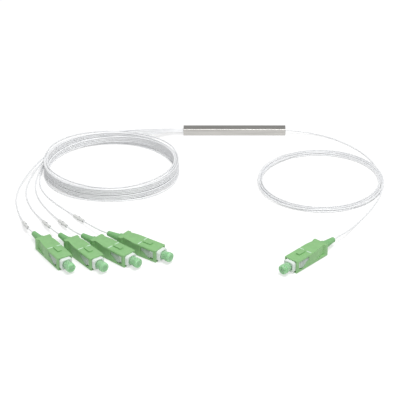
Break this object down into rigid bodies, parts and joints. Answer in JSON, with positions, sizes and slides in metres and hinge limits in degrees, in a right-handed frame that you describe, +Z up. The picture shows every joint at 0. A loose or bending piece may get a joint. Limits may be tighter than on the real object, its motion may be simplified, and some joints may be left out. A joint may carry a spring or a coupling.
{
  "type": "fibre optic splitter",
  "caption": "Slim steel tube that splits one coiled optical fibre into several coiled fibres, each ending in a green push-pull plug with dust cap.",
  "frame": {"origin": "under the middle of the steel tube, on the surface it lies on", "axes": "+X along the tube towards its input end, +Z up, -Y towards the coils and plugs"},
  "size_m": [0.2069, 0.1644, 0.0082],
  "materials": {
    "tube_steel": "drawn and finely brushed",
    "seal_compound": "cast sealing compound",
    "chip_glass": "polished",
    "fibre_coating": "smooth",
    "fibre_jacket": "extruded, satin",
    "sleeve_plastic": "moulded, satin",
    "grip_plastic": "moulded, satin",
    "frame_plastic": "moulded, satin",
    "ferrule_ceramic": "polished zirconia",
    "flange_metal": "turned, nickel plated",
    "spring_steel": "drawn wire",
    "stop_metal": "turned, nickel plated",
    "boot_rubber": "moulded, matte",
    "cap_plastic": "moulded, satin, slightly translucent"
  },
  "bodies": {
    "splitter": {"steel_tube": "tube_steel", "input_end_seal": "seal_compound", "output_end_seal": "seal_compound", "splitter_chip": "chip_glass", "input_fibre_block": "chip_glass", "output_fibre_block": "chip_glass", "bare_fibres": "fibre_coating", "input_lead": "fibre_jacket", "output_leads": "fibre_jacket", "input_coil": "fibre_jacket", "output_coil": "fibre_jacket", "input_plug_frame": "frame_plastic", "input_spring": "spring_steel", "input_stop_ring": "stop_metal", "input_boot": "boot_rubber", "input_tail": "fibre_jacket", "output_1_plug_frame": "frame_plastic", "output_1_spring": "spring_steel", "output_1_stop_ring": "stop_metal", "output_1_boot": "boot_rubber", "output_1_tail": "fibre_jacket", "number_sleeve_1": "sleeve_plastic", "output_2_plug_frame": "frame_plastic", "output_2_spring": "spring_steel", "output_2_stop_ring": "stop_metal", "output_2_boot": "boot_rubber", "output_2_tail": "fibre_jacket", "number_sleeve_2": "sleeve_plastic", "output_3_plug_frame": "frame_plastic", "output_3_spring": "spring_steel", "output_3_stop_ring": "stop_metal", "output_3_boot": "boot_rubber", "output_3_tail": "fibre_jacket", "number_sleeve_3": "sleeve_plastic", "output_4_plug_frame": "frame_plastic", "output_4_spring": "spring_steel", "output_4_stop_ring": "stop_metal", "output_4_boot": "boot_rubber", "output_4_tail": "fibre_jacket", "number_sleeve_4": "sleeve_plastic"},
    "input_grip_slider": {"input_grip": "grip_plastic"},
    "input_ferrule_slider": {"input_ferrule": "ferrule_ceramic", "input_ferrule_flange": "flange_metal"},
    "input_cap": {"input_dust_cap": "cap_plastic"},
    "output_1_grip_slider": {"output_1_grip": "grip_plastic"},
    "output_1_ferrule_slider": {"output_1_ferrule": "ferrule_ceramic", "output_1_ferrule_flange": "flange_metal"},
    "output_1_cap": {"output_1_dust_cap": "cap_plastic"},
    "output_2_grip_slider": {"output_2_grip": "grip_plastic"},
    "output_2_ferrule_slider": {"output_2_ferrule": "ferrule_ceramic", "output_2_ferrule_flange": "flange_metal"},
    "output_2_cap": {"output_2_dust_cap": "cap_plastic"},
    "output_3_grip_slider": {"output_3_grip": "grip_plastic"},
    "output_3_ferrule_slider": {"output_3_ferrule": "ferrule_ceramic", "output_3_ferrule_flange": "flange_metal"},
    "output_3_cap": {"output_3_dust_cap": "cap_plastic"},
    "output_4_grip_slider": {"output_4_grip": "grip_plastic"},
    "output_4_ferrule_slider": {"output_4_ferrule": "ferrule_ceramic", "output_4_ferrule_flange": "flange_metal"},
    "output_4_cap": {"output_4_dust_cap": "cap_plastic"}
  },
  "joints": [
    {"name": "input_grip_slide", "type": "slide", "parent": "splitter", "child": "input_grip_slider", "axis": [0.6717, 0.7408, 0], "range_m": [0, 0.002]},
    {"name": "input_ferrule_push", "type": "slide", "parent": "splitter", "child": "input_ferrule_slider", "axis": [0.6717, 0.7408, 0], "range_m": [0, 0.001], "stiffness_N_per_m": 2000, "deforming": ["input_spring"]},
    {"name": "input_cap_pull", "type": "slide", "parent": "input_ferrule_slider", "child": "input_cap", "axis": [-0.6717, -0.7408, 0], "range_m": [0, 0.008]},
    {"name": "output_1_grip_slide", "type": "slide", "parent": "splitter", "child": "output_1_grip_slider", "axis": [-0.521, 0.8536, 0], "range_m": [0, 0.002]},
    {"name": "output_1_ferrule_push", "type": "slide", "parent": "splitter", "child": "output_1_ferrule_slider", "axis": [-0.521, 0.8536, 0], "range_m": [0, 0.001], "stiffness_N_per_m": 2000, "deforming": ["output_1_spring"]},
    {"name": "output_1_cap_pull", "type": "slide", "parent": "output_1_ferrule_slider", "child": "output_1_cap", "axis": [0.521, -0.8536, 0], "range_m": [0, 0.008]},
    {"name": "output_2_grip_slide", "type": "slide", "parent": "splitter", "child": "output_2_grip_slider", "axis": [-0.5962, 0.8028, 0], "range_m": [0, 0.002]},
    {"name": "output_2_ferrule_push", "type": "slide", "parent": "splitter", "child": "output_2_ferrule_slider", "axis": [-0.5962, 0.8028, 0], "range_m": [0, 0.001], "stiffness_N_per_m": 2000, "deforming": ["output_2_spring"]},
    {"name": "output_2_cap_pull", "type": "slide", "parent": "output_2_ferrule_slider", "child": "output_2_cap", "axis": [0.5962, -0.8028, 0], "range_m": [0, 0.008]},
    {"name": "output_3_grip_slide", "type": "slide", "parent": "splitter", "child": "output_3_grip_slider", "axis": [-0.7302, 0.6833, 0], "range_m": [0, 0.002]},
    {"name": "output_3_ferrule_push", "type": "slide", "parent": "splitter", "child": "output_3_ferrule_slider", "axis": [-0.7302, 0.6833, 0], "range_m": [0, 0.001], "stiffness_N_per_m": 2000, "deforming": ["output_3_spring"]},
    {"name": "output_3_cap_pull", "type": "slide", "parent": "output_3_ferrule_slider", "child": "output_3_cap", "axis": [0.7302, -0.6833, 0], "range_m": [0, 0.008]},
    {"name": "output_4_grip_slide", "type": "slide", "parent": "splitter", "child": "output_4_grip_slider", "axis": [-0.8007, 0.599, 0], "range_m": [0, 0.002]},
    {"name": "output_4_ferrule_push", "type": "slide", "parent": "splitter", "child": "output_4_ferrule_slider", "axis": [-0.8007, 0.599, 0], "range_m": [0, 0.001], "stiffness_N_per_m": 2000, "deforming": ["output_4_spring"]},
    {"name": "output_4_cap_pull", "type": "slide", "parent": "output_4_ferrule_slider", "child": "output_4_cap", "axis": [0.8007, -0.599, 0], "range_m": [0, 0.008]}
  ]
}
